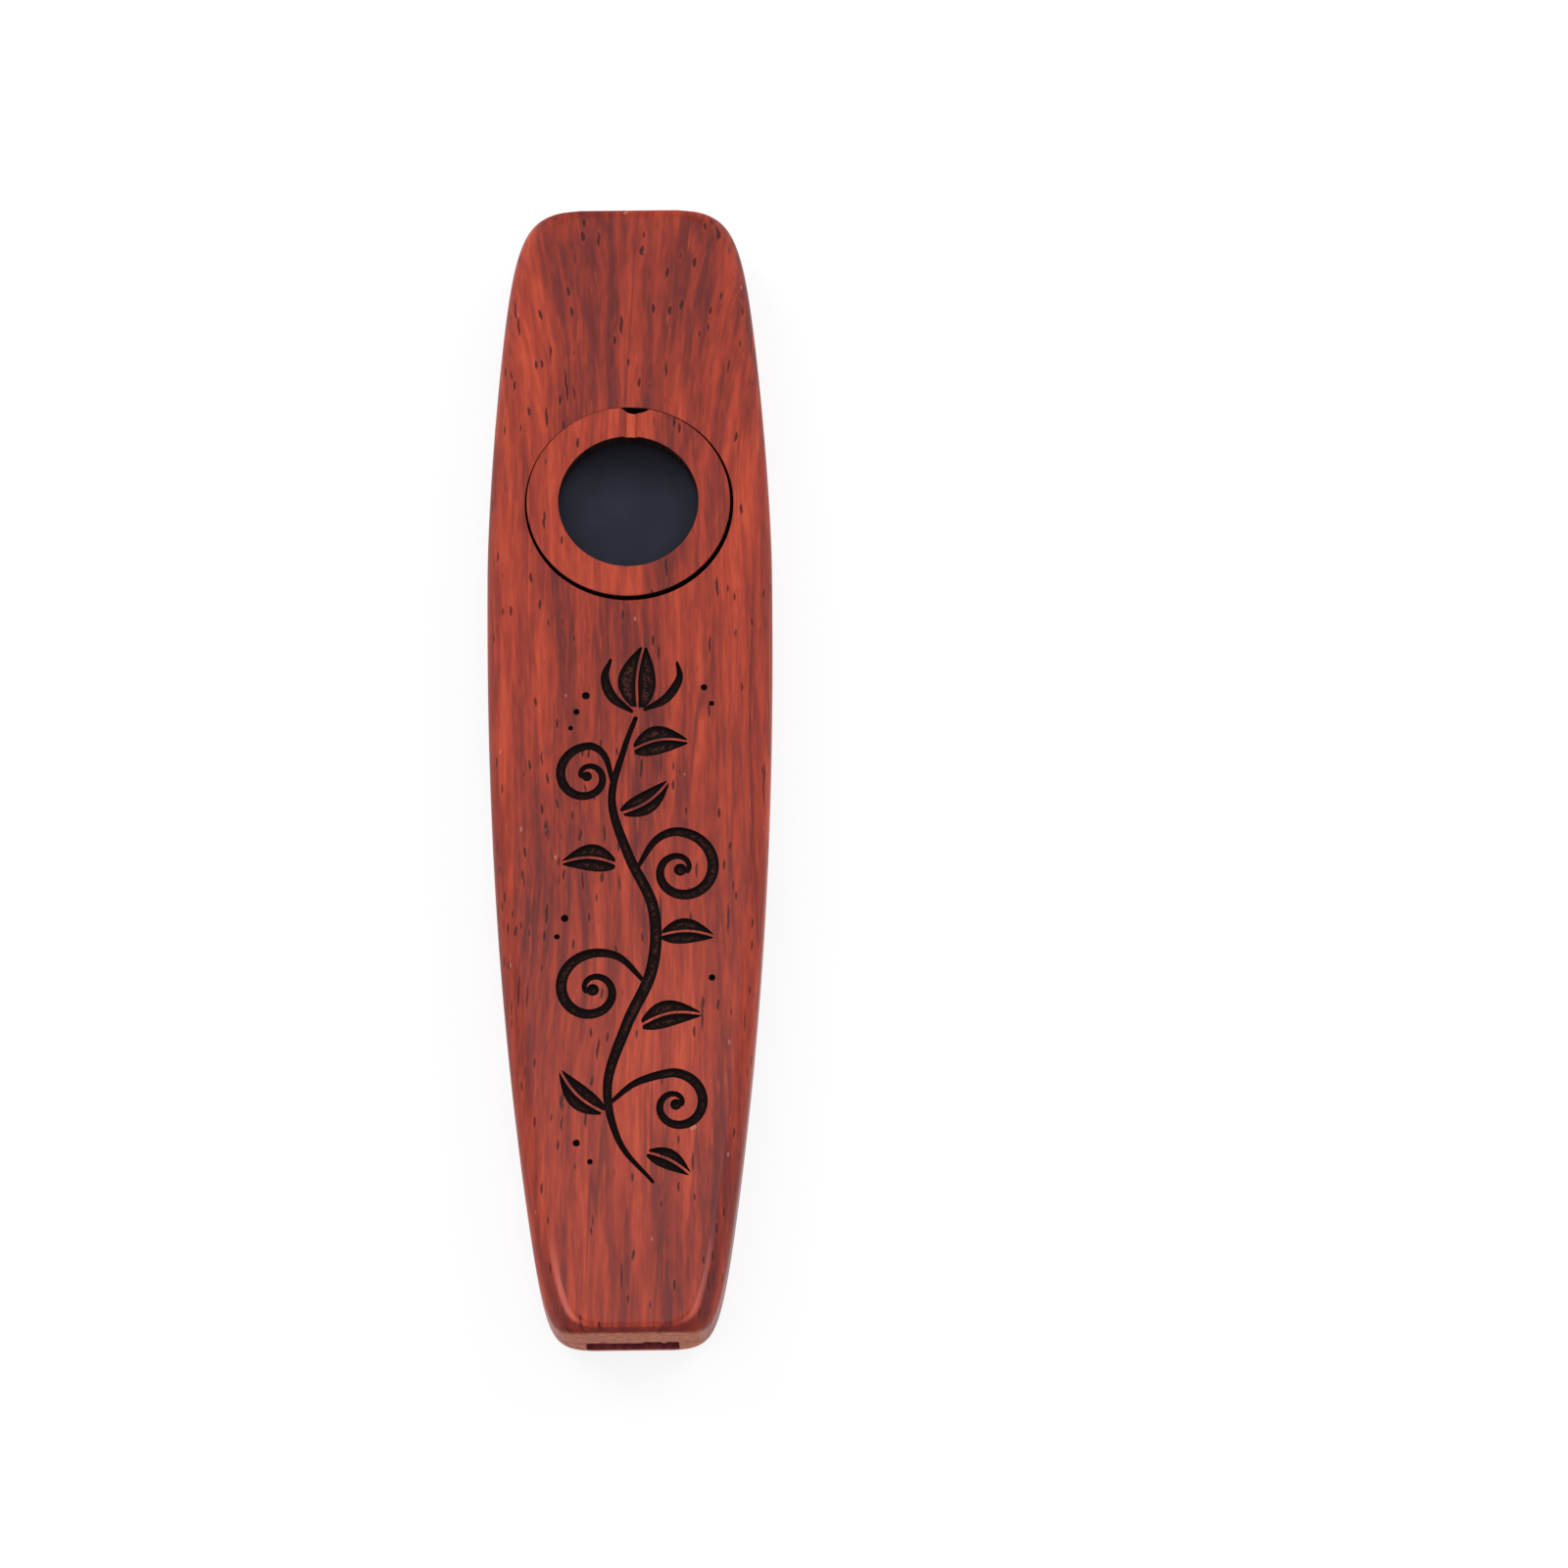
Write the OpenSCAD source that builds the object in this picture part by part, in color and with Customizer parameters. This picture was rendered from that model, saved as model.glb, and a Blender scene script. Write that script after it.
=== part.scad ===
// Flat wooden kazoo with a lift-out ring over its membrane.
// The origin is the middle of the back face. +Z leaves the front face, +Y runs to the wide mouth end.

/* [Body outline] */
// Length of the body
length = 125; // [110:1:140]
// Width of the body at its widest station
width = 30.2; // [27:0.1:34]
// Distance from the mouth end to the widest station
widest_from_mouth = 41.6; // [36:0.1:56]
// Width that the sides aim at where they reach the mouth end
mouth_w = 23.8; // [21:0.1:26.5]
// Width that the sides aim at where they reach the tail end
tail_w = 17.3; // [15:0.1:24]
// Power of the curve that the sides follow to the mouth end
mouth_bow = 1.6; // [1.5:0.1:2.5]
// Power of the curve that the sides follow to the tail end
tail_bow = 2.2; // [1.5:0.1:2.8]
// Squareness of the mouth end: how flat its end runs before the corner
mouth_flat = 7.6; // [5:0.1:10]
// Tightness of the mouth end's corners along the sides
mouth_corner = 10.5; // [8:0.5:20]
// Squareness of the tail end: how flat its end runs before the corner
tail_flat = 9.4; // [6:0.1:12]
// Tightness of the tail end's corners along the sides
tail_corner = 30.5; // [20:0.5:50]

/* [Boards] */
// Thickness of the front board
front_t = 4.6; // [4.2:0.1:6]
// Thickness of the back board
back_t = 3.7; // [3.4:0.1:5]
// Radius of the roundover on the long edges
edge_round = 2.2; // [1:0.1:2.8]
// Radius of the roundover on the two end faces
end_round = 0.7; // [0.3:0.05:0.9]

/* [Air channel] */
// Width of the air channel
channel_w = 9.2; // [6:0.1:12]
// Depth of the air channel, milled into the back board
channel_h = 2.4; // [1.6:0.1:2.8]

/* [Membrane seat] */
// Distance from the mouth end to the middle of the seat
seat_from_mouth = 34.5; // [30:0.1:42]
// Diameter of the seat for the membrane and the ring
seat_d = 22.3; // [21:0.1:24.6]
// Width of the ledge that the membrane lies on, round the throat
ledge_w = 4.15; // [3.6:0.05:5.5]

/* [Ring] */
// Play between the ring and the wall of its seat, all round
ring_play = 0.35; // [0.25:0.01:0.6]
// Width of the ring's band, from its edge to the window
ring_w = 3.35; // [3:0.05:4.5]
// Thickness of the ring
ring_t = 2; // [1.5:0.05:2.6]
// How far the ring stands above the front face
ring_proud = 0.1; // [0:0.05:0.4]
// Width of the pry scallop in the ring's edge
scallop_w = 2.7; // [1.5:0.1:3.4]
// Depth of the pry scallop
scallop_depth = 0.65; // [0.4:0.05:0.9]
// Width of the groove between the scallop and the window
groove_w = 1.4; // [0.8:0.1:2]
// Depth of the groove
groove_depth = 0.3; // [0.1:0.05:0.5]
// How far the loose ring lies to the left of the seat's middle
ring_drift_x = 0.08; // [0:0.01:0.1]
// How far the loose ring lies towards the mouth end of the seat
ring_drift_y = 0.22; // [0:0.01:0.22]
// How far the loose ring is turned clockwise, in degrees
ring_turn = 2; // [0:0.5:10]

/* [Membrane] */
// Thickness of the film
film_t = 0.1; // [0.05:0.01:0.15]
// Thickness of the rim under the film's edge
rim_t = 0.4; // [0.2:0.05:0.6]
// Play between the membrane and the wall of its seat, all round
film_play = 0.65; // [0.1:0.05:1]
// Width of the rim's band
rim_w = 2.8; // [2.6:0.1:3.1]

/* [Magnets] */
// Number of magnets in the ring, and in the seat
magnet_count = 4; // [3:1:5]
// Diameter of a magnet
magnet_d = 2; // [1.5:0.1:2]
// Thickness of a magnet
magnet_t = 1; // [0.8:0.1:1.2]
// Glue gap round a magnet in its pocket
magnet_glue_gap = 0.05; // [0.03:0.01:0.1]

/* [Hidden] */

// how far a cut runs past the face that it opens
overrun = 1;
// share of the end's half width where the outline leaves the straight middle of the end
straight_share = 0.4;
// share of the end's half width where the outline's points pass from the end to the side
corner_share = 0.85;
// power that gathers the side's points near the corner
side_gather = 1.4;
end_steps = 5;
side_steps = 13;
round_steps = 5;

$fn = 96;

body_t = back_t + front_t;
widest_y = length / 2 - widest_from_mouth;
seat_y = length / 2 - seat_from_mouth;
throat_d = seat_d - 2 * ledge_w;
ring_d = seat_d - 2 * ring_play;
window_d = ring_d - 2 * ring_w;
film_d = seat_d - 2 * film_play;
rim_hole_d = film_d - 2 * rim_w;
magnet_circle_d = ring_d - ring_w;
ring_z = body_t + ring_proud - ring_t;
film_z = ring_z - film_t;
seat_floor_z = film_z - rim_t;
seat_depth = body_t - seat_floor_z;
scallop_r = (pow(scallop_w / 2, 2) + pow(scallop_depth, 2)) / (2 * scallop_depth);
first_magnet_angle = 180 / magnet_count;

wood = [0.66, 0.24, 0.17];
dark_wood = [0.58, 0.2, 0.15];
film_black = [0.16, 0.17, 0.21];
rim_black = [0.1, 0.1, 0.11];
nickel = [0.78, 0.78, 0.76];

// half width of the body at a share v of the way from the widest station to an end
function half_width(v, edge_w, bow) = width / 2 - (width - edge_w) / 2 * pow(v, bow);

// one quarter of the outline, from the straight middle of an end round its corner to the widest station
function quarter(reach, edge_w, bow, flat, corner) =
    let (turn = pow(1 - pow(corner_share, flat), 1 / corner))
    concat(
        [for (k = [0 : end_steps])
            let (s = straight_share + (corner_share - straight_share) * k / end_steps)
            let (v = k == 0 ? 1 : pow(1 - pow(s, flat), 1 / corner))
            [s * half_width(v, edge_w, bow), reach * v]],
        [for (k = [1 : side_steps])
            let (v = turn * (1 - pow(k / side_steps, side_gather)))
            [half_width(v, edge_w, bow) * pow(1 - pow(v, corner), 1 / flat), reach * v]]
    );

mouth_quarter = quarter(widest_from_mouth, mouth_w, mouth_bow, mouth_flat, mouth_corner);
tail_quarter = quarter(length - widest_from_mouth, tail_w, tail_bow, tail_flat, tail_corner);
quarter_count = len(mouth_quarter);

// the right side from the mouth to the tail, then the left side back again
right_side = concat(
    [for (p = mouth_quarter) [p.x, widest_y + p.y]],
    [for (k = [quarter_count - 2 : -1 : 0]) [tail_quarter[k].x, widest_y - tail_quarter[k].y]]
);
outline = concat(right_side, [for (k = [len(right_side) - 1 : -1 : 0]) [-right_side[k].x, right_side[k].y]]);
outline_count = len(outline);

// outward direction of the outline at each of its points: the nearer neighbour counts for more
outward = [
    for (k = [0 : outline_count - 1])
        let (before = outline[k] - outline[(k + outline_count - 1) % outline_count])
        let (after = outline[(k + 1) % outline_count] - outline[k])
        let (run = before / (before * before) + after / (after * after))
        [-run.y, run.x] / norm(run)
];

// roundover radius at each point: full along the sides and round the corners, and small on the two end faces
round_at = [for (n = outward) edge_round - (edge_round - end_round) * pow(1 - abs(n.x), 2)];

// how far the outline draws in at a depth below the face, for a roundover of radius r
function draw_in(depth, r) = depth >= r ? 0 : r - sqrt(r * r - pow(r - depth, 2));

function outline_at(depth) = [
    for (k = [0 : outline_count - 1]) outline[k] - outward[k] * draw_in(depth, round_at[k])
];

// a board from its flat joint face at z = 0 to its rounded face at z = thickness
module rounded_board(thickness) {
    depths = concat([thickness], [for (k = [0 : round_steps]) edge_round * (1 - sin(90 * k / round_steps))]);
    levels = len(depths);
    rings = [for (depth = depths, p = outline_at(depth)) [p.x, p.y, thickness - depth]];
    bottom_middle = len(rings);
    top_middle = bottom_middle + 1;
    faces = [
        for (k = [0 : outline_count - 1])
            let (next = (k + 1) % outline_count, last = (levels - 1) * outline_count)
            each concat(
                [[bottom_middle, next, k], [top_middle, last + k, last + next]],
                [
                    for (i = [0 : levels - 2])
                        let (low = i * outline_count, high = low + outline_count)
                        each [[low + k, low + next, high + next], [low + k, high + next, high + k]]
                ]
            )
    ];
    polyhedron(points = concat(rings, [[0, widest_y, 0], [0, widest_y, thickness]]), faces = faces);
}

module at_seat(z) translate([0, seat_y, z]) children();

module at_ring(z) translate([-ring_drift_x, seat_y + ring_drift_y, z]) rotate(-ring_turn) children();

// places its children at magnet number k of the circle
module at_magnet(k) {
    angle = first_magnet_angle + 360 / magnet_count * (k - 1);
    rotate(angle) translate([magnet_circle_d / 2, 0, 0]) children();
}

module magnet_pockets() {
    for (k = [1 : magnet_count]) at_magnet(k)
        translate([0, 0, -overrun]) cylinder(d = magnet_d + 2 * magnet_glue_gap, h = magnet_t + overrun);
}

module magnet() cylinder(d = magnet_d, h = magnet_t);

module front_board() {
    color(wood) difference() {
        translate([0, 0, back_t]) rounded_board(front_t);
        at_seat(seat_floor_z) cylinder(d = seat_d, h = seat_depth + overrun);
        at_seat(back_t - overrun) cylinder(d = throat_d, h = front_t + overrun);
        at_seat(seat_floor_z) mirror([0, 0, 1]) magnet_pockets();
    }
}

module back_board() {
    color(dark_wood) difference() {
        translate([0, 0, back_t]) mirror([0, 0, 1]) rounded_board(back_t);
        translate([-channel_w / 2, -length / 2 - overrun, back_t - channel_h])
            cube([channel_w, length + 2 * overrun, channel_h + overrun]);
    }
}

module clamp_ring() {
    color(wood) at_ring(ring_z) difference() {
        cylinder(d = ring_d, h = ring_t);
        translate([0, 0, -overrun]) cylinder(d = window_d, h = ring_t + 2 * overrun);
        translate([0, ring_d / 2 - scallop_depth + scallop_r, -overrun])
            cylinder(r = scallop_r, h = ring_t + 2 * overrun);
        translate([-groove_w / 2, 0, ring_t - groove_depth])
            cube([groove_w, ring_d / 2 + overrun, groove_depth + overrun]);
        magnet_pockets();
    }
}

module membrane_film() {
    color(film_black) at_seat(film_z) cylinder(d = film_d, h = film_t);
}

module membrane_rim() {
    color(rim_black) at_seat(seat_floor_z) difference() {
        cylinder(d = film_d, h = rim_t);
        translate([0, 0, -overrun]) cylinder(d = rim_hole_d, h = rim_t + 2 * overrun);
    }
}

module ring_magnet(k) {
    color(nickel) at_ring(ring_z) at_magnet(k) magnet();
}

module seat_magnet(k) {
    color(nickel) at_seat(seat_floor_z) mirror([0, 0, 1]) at_magnet(k) magnet();
}

front_board();
back_board();
clamp_ring();
membrane_film();
membrane_rim();
for (k = [1 : magnet_count]) {
    ring_magnet(k);
    seat_magnet(k);
}
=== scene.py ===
# %% [markdown]
# # A flat wooden kazoo
#
# The object is a small wind instrument: two red-brown boards glued face to face, an air channel between
# them, and a round seat in the front board. A thin dark membrane lies in the seat, and a loose wooden ring
# holds it down.
#
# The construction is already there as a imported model, so this script only dresses it: it builds finer
# meshes in the same places, gives them their finishes, and sets up a plain white studio with the
# photograph's camera.

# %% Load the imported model
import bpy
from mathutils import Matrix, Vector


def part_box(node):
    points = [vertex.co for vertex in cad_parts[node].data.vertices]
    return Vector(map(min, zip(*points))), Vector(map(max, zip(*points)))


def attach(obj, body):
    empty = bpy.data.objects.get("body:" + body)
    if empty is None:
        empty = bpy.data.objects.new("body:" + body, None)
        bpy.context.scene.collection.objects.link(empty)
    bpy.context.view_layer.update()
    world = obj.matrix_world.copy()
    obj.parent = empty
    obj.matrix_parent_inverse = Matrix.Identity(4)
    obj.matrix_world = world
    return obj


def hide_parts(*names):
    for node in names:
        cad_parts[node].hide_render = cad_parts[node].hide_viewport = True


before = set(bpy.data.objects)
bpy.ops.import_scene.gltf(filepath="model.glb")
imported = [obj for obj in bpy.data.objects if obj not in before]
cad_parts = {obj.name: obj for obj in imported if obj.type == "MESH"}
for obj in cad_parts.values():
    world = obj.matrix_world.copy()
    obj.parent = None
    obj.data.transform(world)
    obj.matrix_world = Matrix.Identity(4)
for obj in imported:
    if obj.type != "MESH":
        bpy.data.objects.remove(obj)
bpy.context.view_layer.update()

print("nodes:", sorted(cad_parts))

# %% [markdown]
# ## Working in millimetres
#
# Blender counts in metres here, but a piece this small is easier to think about in millimetres. So every
# size below is in millimetres, and the points are scaled once, when a mesh is made. The outer sizes of the
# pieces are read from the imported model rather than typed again, so the dressed pieces fill the same places.

# %% Read the sizes of the pieces
import random

import bmesh
import bpy
import numpy as np
from mathutils import Matrix, Vector
from mathutils.geometry import delaunay_2d_cdt

MM = 0.001


def corners(node):
    """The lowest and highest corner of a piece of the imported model, in millimetres."""
    low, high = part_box(node)
    return np.array(low) / MM, np.array(high) / MM


front_low, front_high = corners("front_board")
back_low, back_high = corners("back_board")
ring_low, ring_high = corners("clamp_ring")
film_low, film_high = corners("membrane_film")
rim_low, rim_high = corners("membrane_rim")

LENGTH = front_high[1] - front_low[1]
WIDTH = front_high[0] - front_low[0]
FACE_Z = front_high[2]
JOINT_Z = back_high[2]
RING_D = ring_high[0] - ring_low[0]
RING_X = (ring_low[0] + ring_high[0]) / 2
RING_Y = ring_low[1] + RING_D / 2
SEAT_Y = (film_low[1] + film_high[1]) / 2
print(f"body {LENGTH:.1f} x {WIDTH:.1f} x {FACE_Z:.1f} mm, ring {RING_D:.1f} mm at y {RING_Y:.2f}")

# %% [markdown]
# ## The outline of the body
#
# Seen from the front, the body is a long barrel shape: widest a third of the way down, drawn in more to the
# narrow end, with squared ends whose corners are well rounded. It could be traced point by point, but a
# formula gives a cleaner curve. Each quarter is a bowed side whose width falls with a power of the distance
# from the widest station, multiplied by a superellipse that closes the end squarely.

# %% The outline as four quarters
WIDEST_FROM_MOUTH = 41.6
MOUTH_W, MOUTH_BOW, MOUTH_FLAT, MOUTH_CORNER = 23.8, 1.6, 7.6, 10.5
TAIL_W, TAIL_BOW, TAIL_FLAT, TAIL_CORNER = 17.3, 2.2, 9.4, 30.5
STRAIGHT_SHARE, CORNER_SHARE = 0.4, 0.85
END_STEPS, SIDE_STEPS = 24, 52
SIDE_GATHER = 1.4
CORNER_TURN, END_TURN = 0.80, 0.93
WIDEST_Y = LENGTH / 2 - WIDEST_FROM_MOUTH


def quarter(reach, edge_w, bow, flat, corner):
    """Half widths and distances from the widest station, from the middle of an end to that station."""
    share = np.linspace(STRAIGHT_SHARE, CORNER_SHARE, END_STEPS + 1)
    reached = (1 - share ** flat) ** (1 / corner)
    turn = reached[-1]
    reached[0] = 1
    side = turn * (1 - (np.arange(1, SIDE_STEPS + 1) / SIDE_STEPS) ** SIDE_GATHER)
    along = np.r_[reached, side]
    across = np.r_[share, (1 - side ** corner) ** (1 / flat)]
    half_width = WIDTH / 2 - (WIDTH - edge_w) / 2 * along ** bow
    return np.c_[across * half_width, reach * along]


def body_outline():
    """The whole outline, clockwise from the right of the wide mouth end."""
    mouth = quarter(WIDEST_FROM_MOUTH, MOUTH_W, MOUTH_BOW, MOUTH_FLAT, MOUTH_CORNER)
    tail = quarter(LENGTH - WIDEST_FROM_MOUTH, TAIL_W, TAIL_BOW, TAIL_FLAT, TAIL_CORNER)
    right = np.vstack([mouth, (tail * (1, -1))[-2::-1]]) + (0, WIDEST_Y)
    return np.vstack([right, (right * (-1, 1))[::-1]])


def outward_of(loop):
    """The outward direction at each point. The nearer neighbour counts more, because the spacing varies."""
    before, after = loop - np.roll(loop, 1, axis=0), np.roll(loop, -1, axis=0) - loop
    run = before / (before ** 2).sum(1, keepdims=True) + after / (after ** 2).sum(1, keepdims=True)
    return np.c_[-run[:, 1], run[:, 0]] / np.linalg.norm(run, axis=1, keepdims=True)


OUTLINE = body_outline()
OUTWARD = outward_of(OUTLINE)
# the finish at each point: 0 along the sides, 1 round the corners, 2 on the flat ends
TURNED = np.digitize(abs(OUTWARD[:, 1]), (CORNER_TURN, END_TURN))
print(f"outline of {len(OUTLINE)} points, {(TURNED == 2).sum()} of them on the ends")

# %% [markdown]
# ## A small workshop for meshes
#
# Every piece here is a closed skin made of loops: one loop of points after another, joined by a band of
# faces, with flat sheets to close the openings. Blender's own primitives would do for a first look, but
# they give no control over the tiny roundings that catch the light, and those make a small wooden thing
# look real.
#
# The flat sheets come from a constrained triangulation, which fits triangles between any number of loops.
# It also tells which loops each triangle lies in, and that is how holes and carved places are found later.

# %% Loops and triangles
TOO_CLOSE = 1e-5


def circle(centre, radius, count=128, start=0.0):
    angle = start + np.linspace(0, 2 * np.pi, count, endpoint=False)
    return np.array(centre) + radius * np.c_[np.cos(angle), np.sin(angle)]


def lifted(loop, z):
    """A flat loop as points in space at height z."""
    return np.c_[loop, np.broadcast_to(z, len(loop))]


def anticlockwise(loop):
    x, y = loop[:, 0], loop[:, 1]
    turns_left = np.sum(x * np.roll(y, -1) - y * np.roll(x, -1)) > 0
    return loop if turns_left else loop[::-1]


def triangulated(loops, loose=()):
    """Triangles between loops: their points, their corners, and the set of loops that each one lies in."""
    loops = [anticlockwise(loop) for loop in loops]
    points = [Vector(p) for loop in loops for p in loop] + [Vector(p) for p in loose]
    ends = np.cumsum([len(loop) for loop in loops])
    rounds = [list(range(end - len(loop), end)) for loop, end in zip(loops, ends)]
    found, _, corners_of, _, _, inside = delaunay_2d_cdt(points, [], rounds, 0, TOO_CLOSE)
    return np.array(found), corners_of, [set(i) for i in inside]

# %% The skin of a piece
WELD = 0.002
CREASE = np.radians(40)


def put_in_scene(name, data):
    """A new object in the scene, made of a mesh, a lamp or a camera."""
    made = bpy.data.objects.new(name, data)
    bpy.context.scene.collection.objects.link(made)
    return made


def count_open(mesh):
    """How many edges of a mesh don't join exactly two faces. A closed skin has none."""
    bm = bmesh.new()
    bm.from_mesh(mesh)
    count = sum(not edge.is_manifold for edge in bm.edges)
    bm.free()
    return count


class Piece:
    """Gathers the points, faces and finishes of one piece, in millimetres."""

    def __init__(self, name):
        self.name, self.points, self.faces, self.finishes, self.soot = name, [], [], [], []

    def add(self, points, faces, finish=0, soot=None):
        start = len(self.points)
        self.points += [tuple(p) for p in points]
        self.soot += [1.0] * len(points) if soot is None else list(soot)
        self.faces += [[start + k for k in face] for face in faces]
        self.finishes += list(np.resize(finish, len(faces)))

    def band(self, loops, finish=0):
        """Joins each loop to the next, point by point. The finish is one for all, or one for each point."""
        count = len(loops[0])
        sides = [(k, (k + 1) % count) for k in range(count)]
        faces = []
        for level in range(len(loops) - 1):
            low, high = level * count, (level + 1) * count
            faces += [[low + a, low + b, high + b, high + a] for a, b in sides]
        self.add(np.vstack(loops), faces, finish)

    def bar(self, loops, finish=0):
        """A band through all the loops, with the first and the last one filled in."""
        self.band(loops, finish)
        for loop in (loops[0], loops[-1]):
            self.add(loop, [list(range(len(loop)))])

    def sheet(self, outer, holes, z, finish=0):
        """Closes the space between an outer loop and its holes with a flat sheet."""
        points, triangles, inside = triangulated([outer, *holes])
        self.add(lifted(points, z), [t for t, i in zip(triangles, inside) if i == {0}], finish)

    def make(self, materials):
        """Joins the loops into one closed mesh with its faces outward, and returns the object."""
        bm = bmesh.new()
        soot = bm.verts.layers.float.new("soot")
        for point, dark in zip(self.points, self.soot):
            bm.verts.new(np.array(point) * MM)[soot] = dark
        bm.verts.ensure_lookup_table()
        for corners_of, finish in zip(self.faces, self.finishes):
            face = bm.faces.new([bm.verts[k] for k in corners_of])
            face.material_index = int(finish)
            face.smooth = True
        bmesh.ops.remove_doubles(bm, verts=bm.verts, dist=WELD * MM)
        bmesh.ops.recalc_face_normals(bm, faces=bm.faces)
        mesh = bpy.data.meshes.new(self.name)
        bm.to_mesh(mesh)
        bm.free()
        mesh.set_sharp_from_angle(angle=CREASE)
        for material in materials:
            mesh.materials.append(material)
        print(f"{self.name}: {len(mesh.polygons)} faces, {count_open(mesh)} open edges")
        return put_in_scene(self.name, mesh)

# %% [markdown]
# ## Rounded boards
#
# A cutter with a rounded profile has run along the sides of both boards, and the ends were only eased with
# sandpaper. So the long edges have a large round and the two ends a small one, and one passes into the
# other round the corners. The sandpaper has also softened the corners of the brink, the line where the flat
# face ends. So the brink is worked out first, as a loop of its own, and the round at each point is as large
# as the way from the outline to the brink.
#
# Each loop of the skin is the outline drawn in by the amount that such a round has at that depth. The edge
# that meets the glue line is broken very slightly, which leaves the hair line that shows between two glued
# boards. The last loop lies on the flat face, just inside the brink. It keeps the shading of the flat away
# from that of the round.

# %% The skin of a board
EDGE_ROUND, END_ROUND = 2.2, 0.7
SOFTENING = 1.2
ROUND_STEPS = 14
GLUE_LINE = 0.05
FLAT_BAND = 0.35


def softened(loop, reach):
    """A loop with its corners rounded off: each point becomes an average over a short way along the loop."""
    step = np.hypot(*(np.roll(loop, -1, axis=0) - loop).T)
    place = np.cumsum(step) - step
    apart = abs(place[:, None] - place)
    apart = np.minimum(apart, step.sum() - apart)
    weight = np.exp(-0.5 * (apart / reach) ** 2) * (step + np.roll(step, 1))
    return weight @ loop / weight.sum(1, keepdims=True)


SHARP_ROUND = EDGE_ROUND - (EDGE_ROUND - END_ROUND) * (1 - abs(OUTWARD[:, :1])) ** 2
BRINK = softened(OUTLINE - OUTWARD * SHARP_ROUND, SOFTENING)
ROUND = np.linalg.norm(BRINK - OUTLINE, axis=1, keepdims=True)
INWARD = (BRINK - OUTLINE) / ROUND
print(f"the round goes from {ROUND.min():.2f} to {ROUND.max():.2f} mm")


def drawn_in(depth, further=0.0):
    """The outline at a depth below the rounded face."""
    left = np.maximum(ROUND - depth, 0)
    return OUTLINE + INWARD * (ROUND - np.sqrt(ROUND ** 2 - left ** 2) + further)


def board_loops(joint_z, face_z):
    """Loops from the glued face of a board to its rounded face."""
    up = np.sign(face_z - joint_z)
    depths = ROUND.max() * (1 - np.sin(np.linspace(0, np.pi / 2, ROUND_STEPS + 1)))
    glued = lifted(OUTLINE - OUTWARD * GLUE_LINE, joint_z)
    eased = lifted(OUTLINE, joint_z + up * GLUE_LINE)
    rounded = [lifted(drawn_in(depth), face_z - up * depth) for depth in depths]
    return [glued, eased, *rounded, lifted(drawn_in(0, FLAT_BAND), face_z)]

# %% [markdown]
# ## The engraved ornament
#
# The front carries a laser engraving, a plain scroll vine: a stem with curls, leaves, a bud and a few dots,
# drawn from a handful of points. Each stroke is a path with a width that swells and thins, as a brush
# stroke does. The strokes are kept as closed outlines, so that they can be cut into the face as real
# grooves. A picture painted on the surface would be quicker, but it wouldn't have the dark walls that give
# an engraving its crispness.

# %% Paths and strokes
SPAN_STEPS = 10
END_FAN = np.radians([60, 30, 0, -30, -60])[:, None]


def through(points):
    """A smooth path through a few points."""
    p = np.array(points, float)
    p = np.vstack([2 * p[0] - p[1], p, 2 * p[-1] - p[-2]])
    t = np.linspace(0, 1, SPAN_STEPS, endpoint=False)[:, None]
    spans = []
    for a, b, c, d in zip(p, p[1:], p[2:], p[3:]):
        rise, bend, twist = c - a, 2 * a - 5 * b + 4 * c - d, 3 * b - a - 3 * c + d
        spans.append(b + 0.5 * (rise * t + bend * t ** 2 + twist * t ** 3))
    return np.vstack(spans + [p[-2:-1]])


def curl(root, start, centre, turns, tightness=0.18, pace=0.9, steps=56):
    """A path that leaves the stem at its root and winds round a centre, drawing in as it goes."""
    start, centre = np.array(start, float), np.array(centre, float)
    arm = start - centre
    t = np.linspace(0, 1, steps)
    radius = np.hypot(*arm) * (1 - (1 - tightness) * t ** pace)
    angle = np.arctan2(arm[1], arm[0]) + 2 * np.pi * turns * t
    wound = centre + radius[:, None] * np.c_[np.cos(angle), np.sin(angle)]
    return np.vstack([through([*root, wound[0], wound[4]])[:-SPAN_STEPS], wound])


def stroke(path, start_w, middle_w, end_w, peak=0.45, gap=0.2, fewest=8):
    """The outline of a stroke that swells to its peak and thins again, with round ends."""
    run_to = np.r_[0, np.cumsum(np.hypot(*np.diff(path, axis=0).T))]
    even = np.linspace(0, run_to[-1], max(fewest, int(run_to[-1] / gap)))
    p = np.c_[np.interp(even, run_to, path[:, 0]), np.interp(even, run_to, path[:, 1])]
    t = np.linspace(0, 1, len(p))
    rising = t < peak
    swell = np.where(rising, np.sin(np.pi / 2 * t / peak), np.cos(np.pi / 2 * (t - peak) / (1 - peak)))
    tip = np.where(rising, start_w, end_w)
    half = (tip + (middle_w - tip) * swell)[:, None] / 2
    along = np.gradient(p, axis=0)
    along /= np.hypot(*along.T)[:, None]
    across = np.c_[-along[:, 1], along[:, 0]]

    def round_end(k, way):
        return p[k] + half[k] * (np.cos(END_FAN) * along[k] * way + np.sin(END_FAN) * across[k] * way)

    return np.vstack([p + across * half, round_end(-1, 1), (p - across * half)[::-1], round_end(0, -1)])

# %% Leaves and dots
MIDRIB_HALF, LEAST_HALF = 0.13, 0.16
LEAF_STEPS, LEAF_TILT, LEAF_FULL = 18, 0.8, 0.9
DOT_POINTS = 16


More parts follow.
